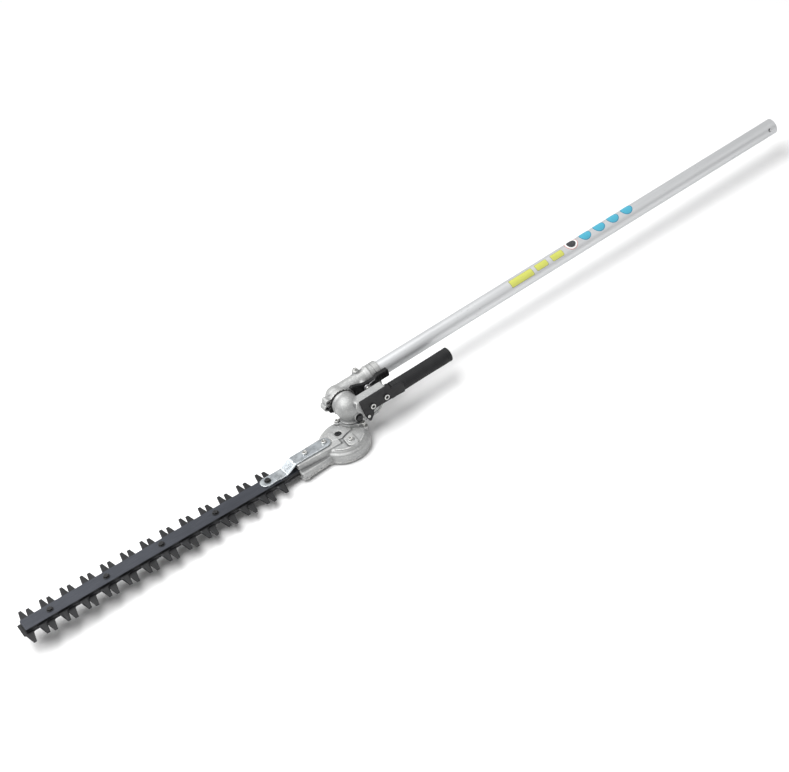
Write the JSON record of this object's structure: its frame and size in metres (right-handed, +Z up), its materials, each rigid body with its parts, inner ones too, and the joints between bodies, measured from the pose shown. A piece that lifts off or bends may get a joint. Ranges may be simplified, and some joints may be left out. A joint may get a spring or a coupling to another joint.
{
  "type": "hedge trimmer attachment",
  "caption": "Long-reach hedge trimmer attachment: aluminium drive pole, tilting gear head with lock lever and hand grip, and a double-sided reciprocating cutter bar.",
  "frame": {"origin": "centre of the pole's free end, where the power unit's coupling takes hold", "axes": "+X out of the pole's free end, along the pole; +Z up, square to the flat of the cutter bar; +Y to the right of someone who looks along the pole from its free end towards the head"},
  "size_m": [1.5514, 0.1162, 0.0775],
  "materials": {
    "pole": "satin anodised",
    "casting": "as-cast, lightly blasted",
    "zinc_plate": "zinc plated",
    "bar_steel": "dark blued",
    "blade_steel": "black oxide with ground edges",
    "machined_steel": "machined",
    "bright_fastener": "bright zinc",
    "dark_fastener": "black oxide",
    "black_plastic": "fine moulded texture",
    "grip_rubber": "matt moulded rubber",
    "bush_rubber": "moulded rubber"
  },
  "bodies": {
    "pole_side": {"pole": "pole", "shaft_bush_1": "bush_rubber", "shaft_bush_2": "bush_rubber", "upper_gear_case": "casting", "flange_bolt_1": "bright_fastener", "flange_bolt_2": "dark_fastener", "clamp_bolt": "bright_fastener", "pole_locating_bolt": "bright_fastener", "drive_shaft_bearing": "bright_fastener", "cross_shaft_bearing": "bright_fastener", "pivot_ring_nut": "machined_steel", "lever_pin": "bright_fastener"},
    "arm": {"arm_housing": "casting", "index_plate": "dark_fastener", "housing_bolt": "dark_fastener", "neck_screw_1": "bright_fastener", "neck_screw_2": "bright_fastener", "handle_bracket": "black_plastic", "handle_grip": "grip_rubber", "bracket_screw_1": "bright_fastener", "bracket_screw_2": "bright_fastener", "bracket_rivet": "bright_fastener", "cutter_case": "casting", "case_cover": "casting", "cover_bolt_1": "bright_fastener", "cover_bolt_2": "bright_fastener", "cover_bolt_3": "bright_fastener", "cover_bolt_4": "bright_fastener", "grease_plug": "black_plastic", "case_screw": "bright_fastener", "guide_bar": "bar_steel", "mounting_strip": "zinc_plate", "strip_screw_1": "bright_fastener", "strip_screw_2": "bright_fastener", "output_bearing_upper": "bright_fastener", "output_bearing_lower": "bright_fastener", "bar_bolt_1": "dark_fastener", "bar_bolt_2": "dark_fastener", "bar_bolt_3": "dark_fastener", "bar_bolt_4": "dark_fastener", "bar_bolt_5": "dark_fastener", "bar_nut_1": "dark_fastener", "bar_nut_2": "dark_fastener", "bar_nut_3": "dark_fastener", "bar_nut_4": "dark_fastener", "bar_nut_5": "dark_fastener"},
    "lock_lever": {"lock_lever": "black_plastic"},
    "drive_shaft": {"drive_shaft": "machined_steel", "drive_pinion": "machined_steel"},
    "cross_shaft": {"cross_shaft": "machined_steel", "cross_shaft_upper_gear": "machined_steel", "cross_shaft_lower_gear": "machined_steel"},
    "output_shaft": {"output_shaft": "machined_steel", "output_bevel_gear": "machined_steel"},
    "crank": {"crank_gear": "machined_steel"},
    "upper_blade": {"upper_blade": "blade_steel"},
    "lower_blade": {"lower_blade": "blade_steel"}
  },
  "joints": [
    {"name": "head_tilt", "type": "hinge", "parent": "pole_side", "child": "arm", "pos_m": [-0.94, 0, 0], "axis": [0, 1, 0], "range_deg": [-45, 90]},
    {"name": "lock_lever_press", "type": "hinge", "parent": "pole_side", "child": "lock_lever", "pos_m": [-0.894, 0, 0.003], "axis": [0, 1, 0], "range_deg": [0, 12], "stiffness_Nm_per_rad": 0.6, "springref_deg": -20.05},
    {"name": "crank_turn", "type": "hinge", "parent": "arm", "child": "crank", "pos_m": [-0.97072, -0.055, -0.0387], "axis": [0.0436, 0, 0.999], "range_deg": [-28.5, 150.5]},
    {"name": "upper_blade_stroke", "type": "slide", "parent": "arm", "child": "upper_blade", "axis": [0.999, 0, -0.0436], "range_m": [-0.00282, 0.01471]},
    {"name": "lower_blade_stroke", "type": "slide", "parent": "arm", "child": "lower_blade", "axis": [0.999, 0, -0.0436], "range_m": [-0.01471, 0.00282]},
    {"name": "output_shaft_turn", "type": "hinge", "parent": "arm", "child": "output_shaft", "pos_m": [-0.94087, -0.038, -0.01998], "axis": [0.0436, 0, 0.999], "range_deg": [-586.28, 111.83]},
    {"name": "cross_shaft_turn", "type": "hinge", "parent": "pole_side", "child": "cross_shaft", "pos_m": [-0.94, 0, 0], "axis": [0, 1, 0], "range_deg": [-586.28, 111.83]},
    {"name": "drive_shaft_turn", "type": "hinge", "parent": "pole_side", "child": "drive_shaft", "pos_m": [-0.64, 0, 0], "axis": [1, 0, 0], "range_deg": [-586.28, 111.83]}
  ],
  "couplings": [
    {"joint": "upper_blade_stroke", "follows": "crank_turn", "m_per_rad": 0.0055794},
    {"joint": "lower_blade_stroke", "follows": "crank_turn", "m_per_rad": -0.0055794},
    {"joint": "output_shaft_turn", "follows": "crank_turn", "ratio": -3.8889},
    {"joint": "cross_shaft_turn", "follows": "crank_turn", "ratio": -3.8889},
    {"joint": "drive_shaft_turn", "follows": "crank_turn", "ratio": -3.8889}
  ]
}
